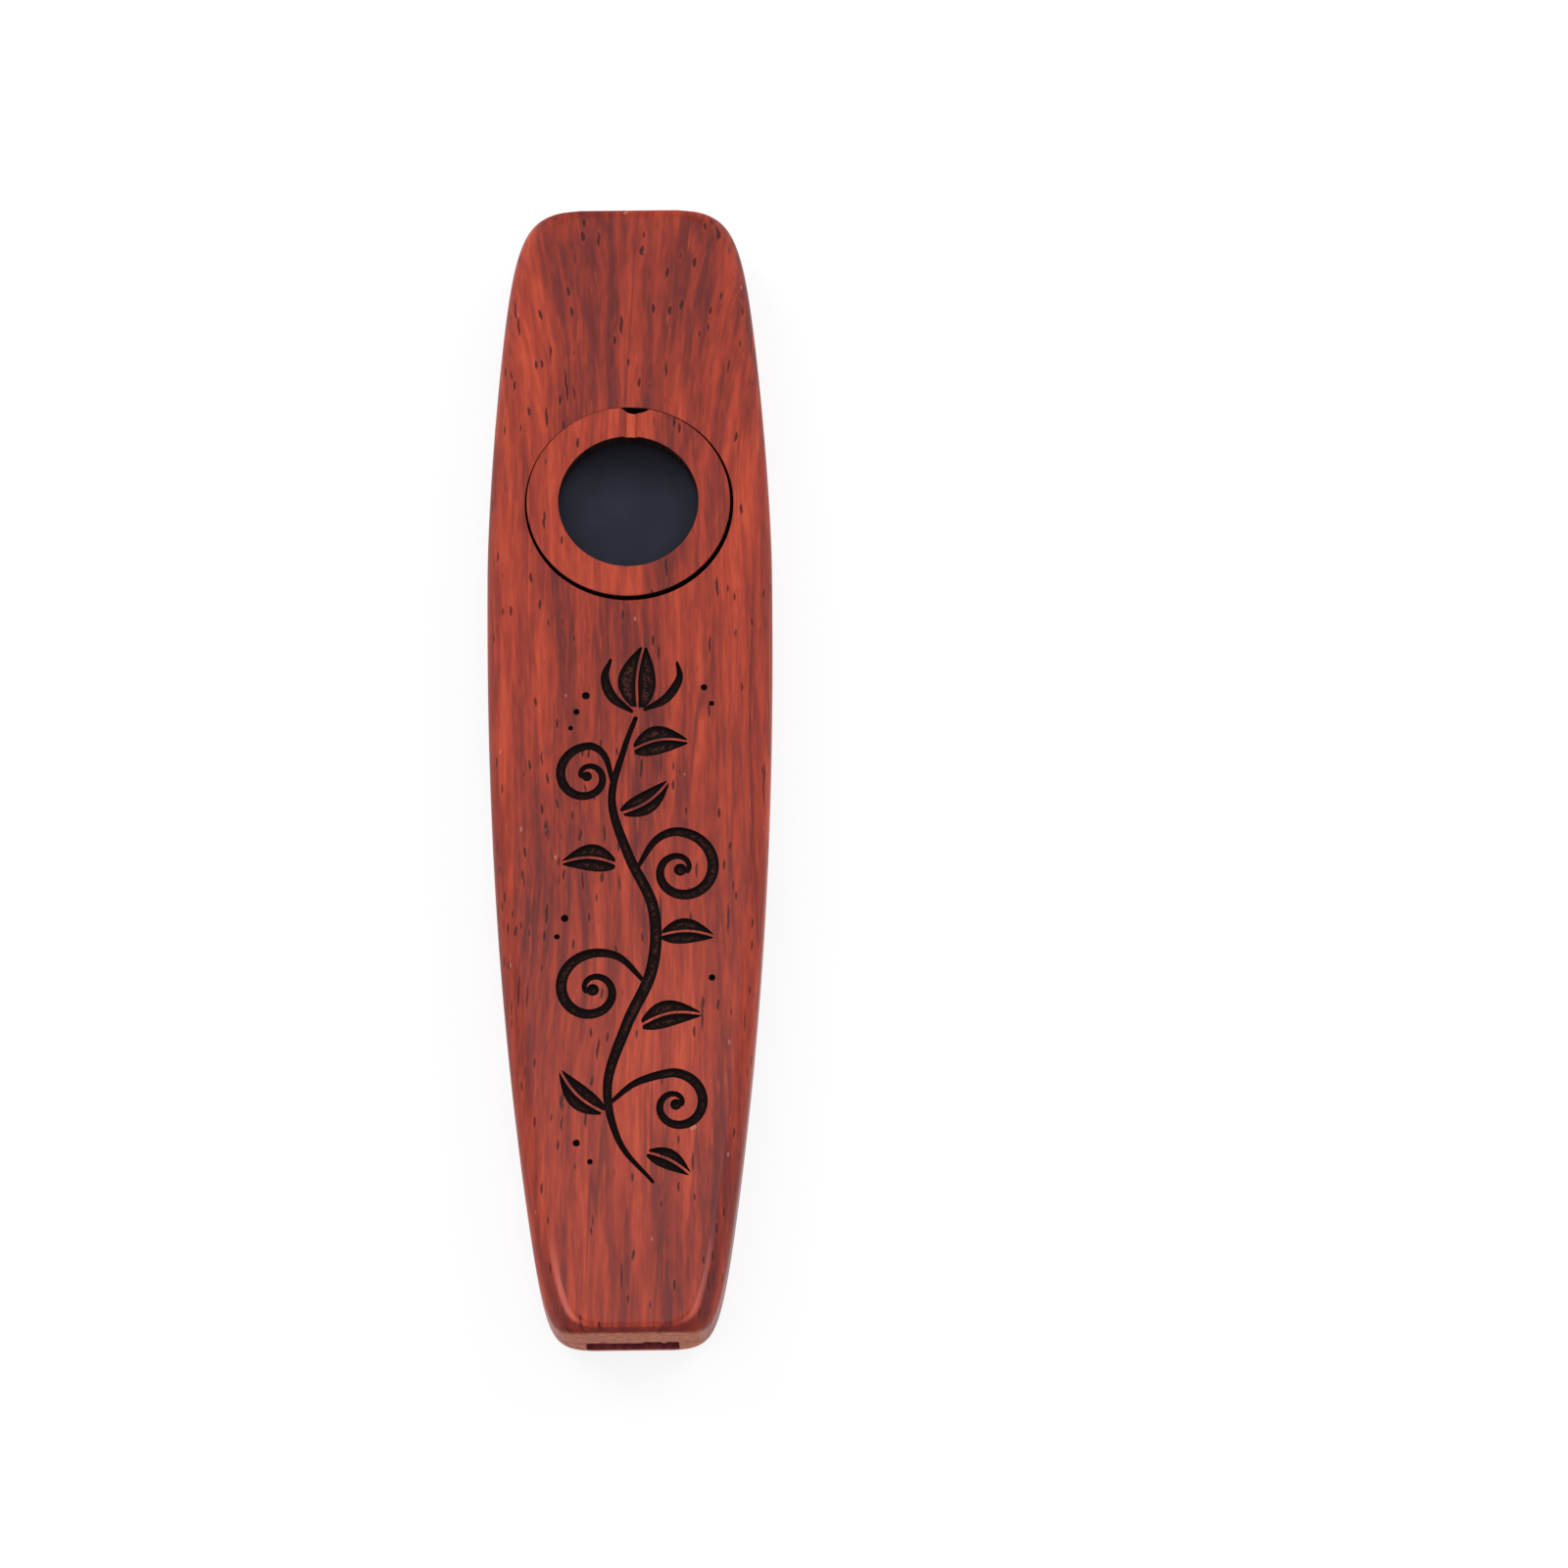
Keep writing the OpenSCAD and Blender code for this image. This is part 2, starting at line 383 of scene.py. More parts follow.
def leaf(base, tip, belly, lean):
    """Two halves of a pointed leaf on either side of its midrib."""
    base, tip = np.array(base, float), np.array(tip, float)
    length = np.hypot(*(tip - base))
    axis = (tip - base) / length
    across = np.array([-axis[1], axis[0]])
    t = np.linspace(0, 1, LEAF_STEPS)[1:-1, None]
    rib = base + t * length * axis + lean * length * np.sin(np.pi * t) * across
    swell = np.maximum(np.sin(np.pi * t ** LEAF_TILT) ** LEAF_FULL * belly / 2, LEAST_HALF)
    inner, outer = MIDRIB_HALF * across, swell * across
    return [np.vstack([rib + side * inner, (rib + side * outer)[::-1]]) for side in (1, -1)]


def dot(x, y, radius):
    return circle((x, y), radius, DOT_POINTS)

# %% Draw the vine
STEM = [(2.2, -46.8), (-1.2, -42.5), (-2.4, -36.5), (-0.4, -30), (2.2, -24), (2.4, -17.5), (-0.2, -11.5),
        (-1.9, -5.5), (-0.6, 0.2), (0.6, 3.6)]
STEM_WIDTHS = (0.35, 1.25, 0.5)
TIP_W, CURL_END_W, SEPAL_END_W = 0.4, 0.5, 0.3
CURLS = [
    # two points of its root, where it starts to wind, its middle, its turns, its width, its eye's radius
    ([(-2.3, -38.5), (0.6, -36.2)], (4.4, -35.2), (4.6, -38.6), -1.25, 1.05, 0.6),
    ([(1.6, -25.6), (-1.0, -22.8)], (-3.6, -22.2), (-3.9, -26.2), 1.3, 1.15, 0.65),
    ([(0.6, -13.2), (2.6, -10.0)], (4.9, -9.0), (5.2, -13.2), -1.3, 1.2, 0.68),
    ([(-1.8, -3.6), (-2.6, -0.6)], (-4.2, 0.6), (-4.5, -2.8), 1.25, 1.0, 0.55),
]
LEAVES = [
    # its base and tip, how wide it is, and how far it leans
    ((-2.5, -39.5), (-7.4, -34.6), 2.6, 0.10), ((1.4, -43.6), (6.2, -46.2), 2.2, 0.08),
    ((0.8, -30.2), (7.6, -29.0), 2.9, 0.12), ((2.9, -20.4), (8.9, -20.6), 2.8, 0.10),
    ((-1.2, -12.6), (-7.4, -12.4), 3.0, -0.12), ((-1.2, -7.0), (4.2, -3.2), 2.5, -0.10),
    ((0.1, 0.0), (6.4, 0.9), 3.2, 0.12), ((0.9, 4.4), (1.6, 12.0), 4.0, 0.06),
]
SEPALS = [
    # its path and its width
    ([(0.2, 4.4), (-1.8, 6.0), (-2.6, 8.2), (-2.0, 10.2)], 1.1),
    ([(1.6, 4.6), (3.8, 5.8), (5.2, 8.0), (5.0, 9.8)], 1.0),
]
DOTS = [
    (-4.6, 6.2, 0.42), (-5.6, 4.4, 0.34), (-6.2, 2.6, 0.27), (7.8, 7.0, 0.36), (8.6, 5.2, 0.28),
    (-6.8, -18.4, 0.4), (-7.6, -20.4, 0.3), (8.4, -25.0, 0.36), (-5.6, -42.6, 0.38), (-4.2, -44.6, 0.3),
]


def vine():
    cuts = [stroke(through(STEM), *STEM_WIDTHS)]
    for root, start, centre, turns, width, eye in CURLS:
        cuts += [stroke(curl(root, start, centre, turns), TIP_W, width, CURL_END_W), dot(*centre, eye)]
    for base, tip, belly, lean in LEAVES:
        cuts += leaf(base, tip, belly, lean)
    cuts += [stroke(through(points), TIP_W, width, SEPAL_END_W) for points, width in SEPALS]
    return cuts + [dot(*place) for place in DOTS]


CUTS = vine()
print(f"the ornament has {len(CUTS)} cuts")

# %% [markdown]
# ## Cutting the ornament into the face
#
# The face is one flat sheet with the outline of every cut in it. Triangles inside a cut are let down to
# form its floor, and a wall is put up wherever a low triangle meets a high one. Loose points on the wide
# floors let them be a little uneven, as a laser leaves them. Each floor point also remembers how dark it
# is: a laser dwells at the edge of a shape, so the char is black near the walls and brown in the middle of
# the wide places.

# %% A carved sheet
CUT_DEPTH = 0.34
FLOOR_GRID, GRID_JITTER, WALL_CLEARANCE = 0.18, 0.05, 0.11
FLOOR_ROUGHNESS, SMOOTH_W = 0.015, 0.05
BLACK_W, FADE_W = 0.18, 0.50
TINY = 1e-9
draw = random.Random(7)


def inside_loop(points, loop):
    """Which points lie inside a loop, by counting the sides that a ray crosses."""
    a, b = loop, np.roll(loop, -1, axis=0)
    x, y = points[:, :1], points[:, 1:]
    crosses = (a[:, 1] > y) != (b[:, 1] > y)
    rise = np.where(b[:, 1] == a[:, 1], TINY, b[:, 1] - a[:, 1])
    return np.sum(crosses & (x < a[:, 0] + (y - a[:, 1]) / rise * (b[:, 0] - a[:, 0])), axis=1) % 2 == 1


def distance_to(points, starts, ends):
    """The distance from each point to the nearest of many short lines."""
    side = ends - starts
    away = points[:, None] - starts[None]
    share = np.clip((away * side).sum(2) / np.maximum((side ** 2).sum(1), TINY), 0, 1)
    return np.sqrt(((away - share[..., None] * side) ** 2).sum(2)).min(1)


def floor_points(cuts):
    """Loose points spread over the floors of the cuts, clear of their walls."""
    chosen = []
    for cut in cuts:
        low, high = cut.min(0), cut.max(0)
        grid = np.mgrid[low[0]:high[0]:FLOOR_GRID, low[1]:high[1]:FLOOR_GRID].reshape(2, -1).T
        jitter = [[draw.uniform(-GRID_JITTER, GRID_JITTER) for _ in range(2)] for _ in grid]
        grid = grid + np.array(jitter).reshape(-1, 2)
        grid = grid[inside_loop(grid, cut)]
        if len(grid):
            grid = grid[distance_to(grid, cut, np.roll(cut, -1, axis=0)) > WALL_CLEARANCE]
        chosen += list(grid)
    return chosen


def carve(piece, outer, hole, cuts, z, uncut, floor, wall):
    """Adds a flat face with carved places, with a finish for the uncut face, the floors and the walls."""
    points, triangles, inside = triangulated([outer, hole, *cuts], floor_points(cuts))
    low = [t for t, i in zip(triangles, inside) if i - {0, 1}]
    piece.add(lifted(points, z), [t for t, i in zip(triangles, inside) if i == {0}], uncut)
    sides = {(a, b) for t in low for a, b in zip(t, t[1:] + t[:1])}
    rims = np.array([(a, b) for a, b in sides if (b, a) not in sides])
    used = sorted({k for t in low for k in t})
    edge = distance_to(points[used], points[rims[:, 0]], points[rims[:, 1]])
    rough = np.array([draw.uniform(-FLOOR_ROUGHNESS, FLOOR_ROUGHNESS) for _ in used]) * (edge > SMOOTH_W)
    floor_z = np.full(len(points), z - CUT_DEPTH)
    floor_z[used] += rough
    soot = np.ones(len(points))
    soot[used] = 1 - np.clip((edge - BLACK_W) / FADE_W, 0, 1)
    piece.add(lifted(points, floor_z), low, floor, soot)
    walls = np.vstack([lifted(points, z), lifted(points, floor_z)])
    piece.add(walls, [[a, b, b + len(points), a + len(points)] for a, b in rims], wall)
    print(f"carved {len(low)} floor triangles")

# %% [markdown]
# ## Finishes as recipes
#
# A material in Blender is a net of small nodes. Written out one by one they are hard to follow, so this
# helper lets a finish be written like a recipe, in which each step returns something that the next step can
# use. Everything is procedural and is worked out from the place on the piece in millimetres, so the grain
# runs on round every edge.

# %% A helper for nodes
def add_node(tree, kind, given=(), **settings):
    """A node with its settings made, and each input that is given linked or filled in."""
    made = tree.nodes.new(kind)
    for key, value in settings.items():
        setattr(made, key, value)
    for socket, value in dict(given).items():
        if isinstance(value, bpy.types.NodeSocket):
            tree.links.new(value, made.inputs[socket])
        else:
            made.inputs[socket].default_value = value
    return made

# %% A helper for recipes
class Recipe:
    """A material whose steps are nodes. Each step returns the output that the next ones take."""

    def __init__(self, name):
        self.material = bpy.data.materials.new(name)
        self.material.use_nodes = True
        self.tree = self.material.node_tree
        self.tree.nodes.clear()
        self.place = self.node("ShaderNodeTexCoord")
        self.mm = self.scaled(self.place.outputs["Object"], (1 / MM,) * 3)

    def node(self, kind, given=(), **settings):
        return add_node(self.tree, kind, given, **settings)

    def scaled(self, vector, by):
        return self.node("ShaderNodeVectorMath", {0: vector, 1: by}, operation="MULTIPLY").outputs[0]

    def moved(self, vector, by):
        return self.node("ShaderNodeVectorMath", {0: vector, 1: by}, operation="ADD").outputs[0]

    def split(self, vector):
        return self.node("ShaderNodeSeparateXYZ", {0: vector}).outputs

    def joined(self, x, y, z):
        return self.node("ShaderNodeCombineXYZ", {0: x, 1: y, 2: z}).outputs[0]

    def math(self, operation, a, b=0.0):
        return self.node("ShaderNodeMath", {0: a, 1: b}, operation=operation).outputs[0]

    def times(self, a, b):
        return self.math("MULTIPLY", a, b)

    def noise(self, vector, detail=2.0, roughness=0.5):
        given = {"Vector": vector, "Scale": 1.0, "Detail": detail, "Roughness": roughness}
        return self.node("ShaderNodeTexNoise", given).outputs[0]

    def cells(self, vector):
        return self.node("ShaderNodeTexVoronoi", {"Vector": vector, "Scale": 1.0}).outputs

    def step(self, value, low, high, to_low=0.0, to_high=1.0):
        """A soft step: to_low below low, to_high above high."""
        given = {0: value, 1: low, 2: high, 3: to_low, 4: to_high}
        return self.node("ShaderNodeMapRange", given, interpolation_type="SMOOTHSTEP").outputs[0]

    def ramp(self, value, stops):
        made = self.node("ShaderNodeValToRGB", {0: value})
        band = made.color_ramp.elements
        while len(band) < len(stops):
            band.new(0.5)
        for element, (place, colour) in zip(band, stops):
            element.position, element.color = place, (*colour, 1)
        return made.outputs[0]

    def mixed(self, share, a, b, way="MIX"):
        """Colour a turned into colour b by a share."""
        given = {0: share, 6: a if isinstance(a, bpy.types.NodeSocket) else (*a, 1),
                 7: b if isinstance(b, bpy.types.NodeSocket) else (*b, 1)}
        return self.node("ShaderNodeMix", given, data_type="RGBA", blend_type=way).outputs[2]

    def finish(self, colour, roughness, height, bump, shine=0.5, **plain):
        """Ends the recipe with a surface. The bump is in millimetres, and shine is how much it reflects."""
        bumped = self.node("ShaderNodeBump", {"Height": height, "Distance": bump * MM, "Strength": 1.0})
        given = {"Base Color": colour, "Roughness": roughness, "Specular IOR Level": shine,
                 "Normal": bumped.outputs[0], **plain}
        surface = self.node("ShaderNodeBsdfPrincipled", given)
        self.node("ShaderNodeOutputMaterial", {0: surface.outputs[0]})
        return self.material

# %% [markdown]
# ## Red hardwood
#
# The boards are a dense red hardwood, rubbed smooth and thinly varnished. Its colour comes in layers: broad
# zones of purple-brown and orange-red, bands and streaks inside them, fine threads, thin dark veins that
# come and go, and short dark pores that lie along the grain and are sunk a little by a bump. Near the wide
# end the grain fans out.
#
# A photograph of wood wrapped on the mesh would be easy, but it would smear on the sides and couldn't be
# carved into. Noise that is stretched along the grain gives a solid block of wood instead: the streaks run
# over the rounded edges and down the sides by themselves. Each layer is finer and shorter than the one
# before, as in real wood, and they all follow the same gentle bends, so the whole stays calm.

# %% The colours of the wood
PURPLE_BROWN = (0.128, 0.023, 0.021)
DEEP_RED = (0.190, 0.029, 0.022)
RED = (0.278, 0.038, 0.024)
ORANGE_RED = (0.385, 0.052, 0.028)
ORANGE = (0.530, 0.082, 0.038)
PORE = (0.024, 0.008, 0.010)
PALE_FLECK = (0.560, 0.260, 0.220)
# the narrow end's round: oil taken up by the end grain, darkened further as painted shade
SOAKED_AND_SHADED = (0.135, 0.024, 0.022)
# a lighter colour for the brink at the narrow end: wear, brightened as a painted highlight
WORN_HIGHLIGHT = (0.600, 0.135, 0.105)
SAWN_DARK, SAWN_LIGHT = (0.305, 0.085, 0.046), (0.570, 0.187, 0.108)
TONES = [(0.40, PURPLE_BROWN), (0.45, DEEP_RED), (0.50, RED), (0.56, ORANGE_RED), (0.64, ORANGE)]

# %% Where the grain runs
LAYERS = [
    # how far it shifts the tone, size across and along the grain in millimetres, and how soft its edges are
    (0.040, 7.0, 55.0, 0.16),
    (0.028, 2.2, 34.0, 0.11),
    (0.024, 0.80, 13.0, 0.10),
    (0.018, 0.34, 2.6, 0.14),
]
FAN_FROM = 26.0
BEND, WRIGGLE = 7.0, 0.5
BEND_SCALE, WRIGGLE_SCALE = (0.035, 0.020, 0.035), (0.30, 0.07, 0.30)


def grain_place(r, offset, fan, sway):
    """A place in the block of wood in which the grain is straight, for each place on the piece."""
    x, y, z = r.split(r.mm)
    above = r.math("MAXIMUM", r.math("SUBTRACT", y, FAN_FROM), 0.0)
    spread = r.times(r.math("POWER", above, 2.0), fan)
    straight_x = r.math("DIVIDE", x, r.math("ADD", spread, 1.0))
    place = r.moved(r.joined(straight_x, y, z), offset)
    bend = r.math("SUBTRACT", r.noise(r.scaled(place, BEND_SCALE), 1.0), 0.5)
    wriggle = r.math("SUBTRACT", r.noise(r.scaled(place, WRIGGLE_SCALE), 1.0), 0.5)
    shift = r.math("ADD", r.times(bend, BEND * sway), r.times(wriggle, WRIGGLE * sway))
    return r.moved(place, r.joined(shift, 0.0, 0.0))


def wood_tone(r, grain, warmth, figure):
    """How orange the wood is, from 0 to 1, and its finest layer. The figure says how strongly it varies."""
    tone = 0.5 + warmth
    for shift, across, along, soft in LAYERS:
        layer = r.noise(r.scaled(grain, (1 / across, 1 / along, 1 / across)), 1.0, 0.6)
        tone = r.math("ADD", r.step(layer, 0.5 - soft, 0.5 + soft, -shift * figure, shift * figure), tone)
    return tone, layer

# %% Veins and flames
VEIN_SCALE, PATCH_SCALE, FLAME_SCALE = (0.36, 0.011, 0.36), (0.25, 0.045, 0.25), (3.2, 0.20, 3.2)
FLAME_PLACE = (40.0, 7.0, 3.0)
VEIN_HALF, VEIN_SHARE, FLAME_SHARE = 0.026, 0.75, 0.50


def add_veins(r, colour, grain):
    """Thin dark lines that come and go, and short bright ones."""
    line = r.noise(r.scaled(grain, VEIN_SCALE), 1.0)
    ridge = r.math("ABSOLUTE", r.math("SUBTRACT", line, 0.5))
    there = r.step(r.noise(r.scaled(grain, PATCH_SCALE), 1.0), 0.42, 0.62)
    vein = r.times(r.step(ridge, 0.0, VEIN_HALF, VEIN_SHARE, 0.0), there)
    colour = r.mixed(vein, colour, PURPLE_BROWN)
    flame = r.noise(r.moved(r.scaled(grain, FLAME_SCALE), FLAME_PLACE), 2.0, 0.6)
    return r.mixed(r.step(flame, 0.60, 0.76, 0.0, FLAME_SHARE), colour, ORANGE)

# %% Pores
PORES = [
    # how far apart they are across and along the grain, the share of places that has one, and its size there
    (1.05, 8.4, 0.60, 0.165),
    (0.85, 3.4, 0.60, 0.21),
    (1.15, 17.0, 0.45, 0.145),
]
CORE, GLINT_REACH = 0.6, 1.9
CROWD_SCALE, WAVER_SCALE, FLECK_SCALE = (0.10, 0.035, 1.0), (0.4, 0.9, 1.0), (0.60, 0.34, 1.0)
WAVER, FLECK_PLACE = 0.35, (9.0, 5.0, 0.0)
GLINT_SHARE, PORE_SHARE, FLECK_SHARE = 0.22, 0.85, 0.45


def wrap_over_edges(r, grain, face_z):
    """A flat place for marks that lie in the surface, measured on over the edge and down the sides."""
    x, y, z = r.split(r.mm)
    side = r.times(r.math("SIGN", x), r.math("ABSOLUTE", r.math("SUBTRACT", z, face_z)))
    return r.joined(r.math("ADD", r.split(grain)[0], side), y, 0.0)


def add_pores(r, colour, flat_place, keep):
    """Dark dashes of three sizes, more of them in some places, each with a lighter rim that is a painted
    glint.
    """
    crowd = r.step(r.noise(r.scaled(flat_place, CROWD_SCALE), 1.0), 0.36, 0.60, 0.35, 1.0)
    waver = r.times(r.noise(r.scaled(flat_place, WAVER_SCALE), 1.0), WAVER)
    wavering = r.moved(flat_place, r.joined(waver, 0.0, 0.0))
    pores, rims = 0.0, 0.0
    for across, along, few, size in PORES:
        dash = r.cells(r.scaled(wavering, (1 / across, 1 / along, 1.0)))
        lot = r.math("DIVIDE", r.split(dash["Color"])[0], r.times(crowd, few * keep))
        chosen = r.step(lot, 1.0, 0.95)
        core = r.times(r.step(dash["Distance"], size, size * CORE), chosen)
        rim = r.times(r.step(dash["Distance"], size * GLINT_REACH, size), chosen)
        pores, rims = r.math("MAXIMUM", core, pores), r.math("MAXIMUM", rim, rims)
    # painted highlight: each pore gets a lighter rim, a glint of light at its edge
    colour = r.mixed(r.times(rims, GLINT_SHARE), colour, ORANGE_RED)
    colour = r.mixed(r.times(pores, PORE_SHARE), colour, PORE)
    fleck = r.cells(r.moved(r.scaled(flat_place, FLECK_SCALE), FLECK_PLACE))
    spot = r.step(fleck["Distance"], 0.12, 0.05)
    chosen = r.step(r.split(fleck["Color"])[1], 0.14, 0.12)
    here = r.times(spot, chosen)
    return r.mixed(r.times(here, FLECK_SHARE), colour, PALE_FLECK), pores

# %% The narrow end and the sawn ends
NARROW_END_FROM, NARROW_END_FULL = 13, 4
SOAKED_AND_SHADED_SHARE, WORN_HIGHLIGHT_LEFT, WORN_HIGHLIGHT_RIGHT, SAWN_SHARE = 0.65, 0.70, 0.40, 0.92


def add_ends(r, colour):
    """A darker band on the round at the narrow end, from oil taken up by the end grain and from painted
    shade, a lighter strip along its brink, from wear and from a painted highlight, and pale wood on both flat
    ends.

    The places are told apart by the way the surface faces: up is 1 on the flat face and 0 on the sides.
    """
    across, along, up = (r.math("ABSOLUTE", part) for part in r.split(r.place.outputs["Normal"]))
    x, y, _ = r.split(r.mm)
    near = r.step(y, NARROW_END_FROM - LENGTH / 2, NARROW_END_FULL - LENGTH / 2)
    endways = r.math("DIVIDE", along, r.math("ADD", r.math("ADD", across, along), 0.001))
    on_end = r.step(endways, 0.45, 0.80)
    deep_enough = r.math("MAXIMUM", r.step(up, 0.58, 0.80), on_end)
    # a darker band on the narrow end's round: partly oil in the end grain, partly painted shade
    soaked_and_shaded = r.times(r.step(up, 0.985, 0.92, 0.0, SOAKED_AND_SHADED_SHARE), deep_enough)
    colour = r.mixed(r.times(soaked_and_shaded, near), colour, SOAKED_AND_SHADED)
    # a lighter strip just off the flat face at the narrow end, stronger on the left: wear and a painted
    # highlight
    brink = r.times(r.step(up, 0.955, 0.988), r.step(up, 0.99998, 0.9990))
    worn_highlight = r.times(r.times(brink, near), r.step(x, -2.0, 2.0, WORN_HIGHLIGHT_LEFT, WORN_HIGHLIGHT_RIGHT))
    colour = r.mixed(r.times(worn_highlight, r.math("SUBTRACT", 1.0, on_end)), colour, WORN_HIGHLIGHT)
    dots = r.noise(r.scaled(r.mm, (1.2, 0.4, 1.7)), 3.0, 0.7)
    sawn = r.mixed(r.step(dots, 0.30, 0.70), SAWN_DARK, SAWN_LIGHT)
    flat_end = r.times(r.step(along, 0.55, 0.96, 0.0, SAWN_SHARE), r.step(up, 0.62, 0.10))
    return r.mixed(flat_end, colour, sawn)

# %% The wood recipe
THREAD_HEIGHT, PORE_DEPTH = 0.10, 0.06
WOOD_SHINE, VARNISH_ROUGHNESS = 0.05, 0.16
VARNISHED = {"face": 0.22, "corner": 0.10, "end": 0.0}


def red_hardwood(name, face_z, offset, warmth, keep, fan=0.0, sway=0.5, figure=1.1, stain=(1, 1, 1),
                 varnish=VARNISHED["face"]):
    """Wood for one piece.

    The offset picks its place in the tree, warmth makes it more orange, and keep says how many pores it has.
    Fan spreads its grain and sway bends it. Figure says how strongly its tone varies, stain tints it, and
    varnish says how much gloss lies over it.
    """
    r = Recipe(name)
    grain = grain_place(r, offset, fan, sway)
    tone, threads = wood_tone(r, grain, warmth, figure)
    colour = r.mixed(1.0, r.ramp(tone, TONES), stain, "MULTIPLY")
    colour = add_veins(r, colour, grain)
    colour, pores = add_pores(r, colour, wrap_over_edges(r, grain, face_z), keep)
    colour = add_ends(r, colour)
    height = r.math("SUBTRACT", r.times(threads, THREAD_HEIGHT), pores)
    return r.finish(colour, r.step(threads, 0.3, 0.7, 0.42, 0.54), height, PORE_DEPTH, WOOD_SHINE,
                    **{"Coat Weight": varnish, "Coat Roughness": VARNISH_ROUGHNESS})

# %% [markdown]
# ## Charred wood, film, rim and nickel
#
# The laser has burnt whatever it cut: the wide floors of the ornament are dark brown, the walls of the cuts
# and of the round seat are nearly black, and both are quite matt. The air channel was milled and left bare,
# so it is plain red wood in its own shade. The film is a smooth dark plastic that reflects softly, its rim
# a matt one, and the magnets are nickel plated.

# %% The colours of the other materials
CHAR_DARK, CHAR_LIGHT = (0.040, 0.0135, 0.0100), (0.066, 0.0215, 0.0150)
CHAR_BLACK = (0.0065, 0.0028, 0.0030)
BURNT_DARK, BURNT_LIGHT = (0.0060, 0.0032, 0.0034), (0.0170, 0.0070, 0.0060)
CHANNEL_DARK, CHANNEL_LIGHT = (0.150, 0.027, 0.038), (0.250, 0.046, 0.056)
FILM_DARK, FILM_LIGHT = (0.0220, 0.0235, 0.0340), (0.0265, 0.0280, 0.0405)
# the film's upper part is painted darker, as the shade of the ring's wall
FILM_PAINTED_SHADE = (0.0080, 0.0078, 0.0120)
RIM_DARK, RIM_LIGHT = (0.010, 0.010, 0.012), (0.022, 0.022, 0.025)
NICKEL_DARK, NICKEL_LIGHT = (0.60, 0.585, 0.55), (0.72, 0.71, 0.68)
CHAR_SHINE, FILM_SHINE = 0.12, 0.03

# %% The other recipes
def burnt_floor(name):
    """Brown char that turns black towards the walls, with faint marks of the laser's passes."""
    r = Recipe(name)
    dark = r.node("ShaderNodeAttribute", attribute_name="soot").outputs["Fac"]
    mottle = r.noise(r.scaled(r.mm, (1.6, 1.2, 1.6)), 3.0, 0.7)
    passes = r.noise(r.scaled(r.mm, (0.4, 9.0, 0.4)), 1.0)
    brown = r.mixed(r.step(mottle, 0.35, 0.65), CHAR_DARK, CHAR_LIGHT)
    colour = r.mixed(r.step(dark, 0.1, 0.9), brown, CHAR_BLACK)
    return r.finish(colour, 0.85, r.math("ADD", mottle, passes), 0.05, CHAR_SHINE)


def cut_wall(name, dark, light):
    """The wall of a cut, streaked a little from top to bottom."""
    r = Recipe(name)
    streaks = r.noise(r.scaled(r.mm, (1.8, 1.8, 0.3)), 2.0)
    return r.finish(r.mixed(r.step(streaks, 0.4, 0.7), dark, light), 0.8, streaks, 0.03, CHAR_SHINE)


def dark_film(name):
    """A smooth dark film, very slightly clouded, with shade painted on it towards the wide end, where the
    ring's wall shades it.
    """
    r = Recipe(name)
    cloud = r.noise(r.scaled(r.mm, (0.25, 0.25, 0.25)), 2.0)
    colour = r.mixed(r.step(cloud, 0.3, 0.7), FILM_DARK, FILM_LIGHT)
    # painted shade: the upper part of the film is darkened, standing in for the shade of the ring's wall
    upper = r.step(r.split(r.mm)[1], SEAT_Y + 0.5, SEAT_Y + 7.0, 0.0, 0.75)
    colour = r.mixed(upper, colour, FILM_PAINTED_SHADE)
    return r.finish(colour, r.step(cloud, 0.3, 0.7, 0.40, 0.46), cloud, 0.02, FILM_SHINE)


def matt_rim(name):
    """The stiff black rim of the film, with a fine grain."""
    r = Recipe(name)
    grain = r.noise(r.scaled(r.mm, (6.0, 6.0, 6.0)), 2.0)
    return r.finish(r.mixed(grain, RIM_DARK, RIM_LIGHT), 0.6, grain, 0.02)


def nickel(name):
    """Nickel plate with a slight haze from handling."""
    r = Recipe(name)
    haze = r.noise(r.scaled(r.mm, (0.9, 0.9, 0.9)), 3.0)
    colour = r.mixed(haze, NICKEL_DARK, NICKEL_LIGHT)
    return r.finish(colour, r.step(haze, 0.3, 0.7, 0.18, 0.34), haze, 0.01, Metallic=1.0)

# %% Make the finishes
FRONT_PLACE, BACK_PLACE, RING_PLACE = (141.9, 94.1, 35.8), (122.9, 16.1, 168.4), (120.0, -90.0, 17.0)
BACK_STAIN = (0.95, 0.78, 0.75)
FRONT_WOODS, BACK_WOODS = [], []
# the varnish is thinner round the corners, and the sawn ends have none
for part, varnish in VARNISHED.items():
    FRONT_WOODS.append(red_hardwood(f"front_wood_{part}", FACE_Z, FRONT_PLACE, fan=0.0004, warmth=0.004,
                                    keep=1.4, varnish=varnish))
    BACK_WOODS.append(red_hardwood(f"back_wood_{part}", 0.0, BACK_PLACE, warmth=-0.015, keep=1.9,
                                   figure=1.25, stain=BACK_STAIN, varnish=varnish))
RING_WOOD = red_hardwood("ring_wood", FACE_Z, RING_PLACE, warmth=-0.012, sway=0.3, keep=0.8)
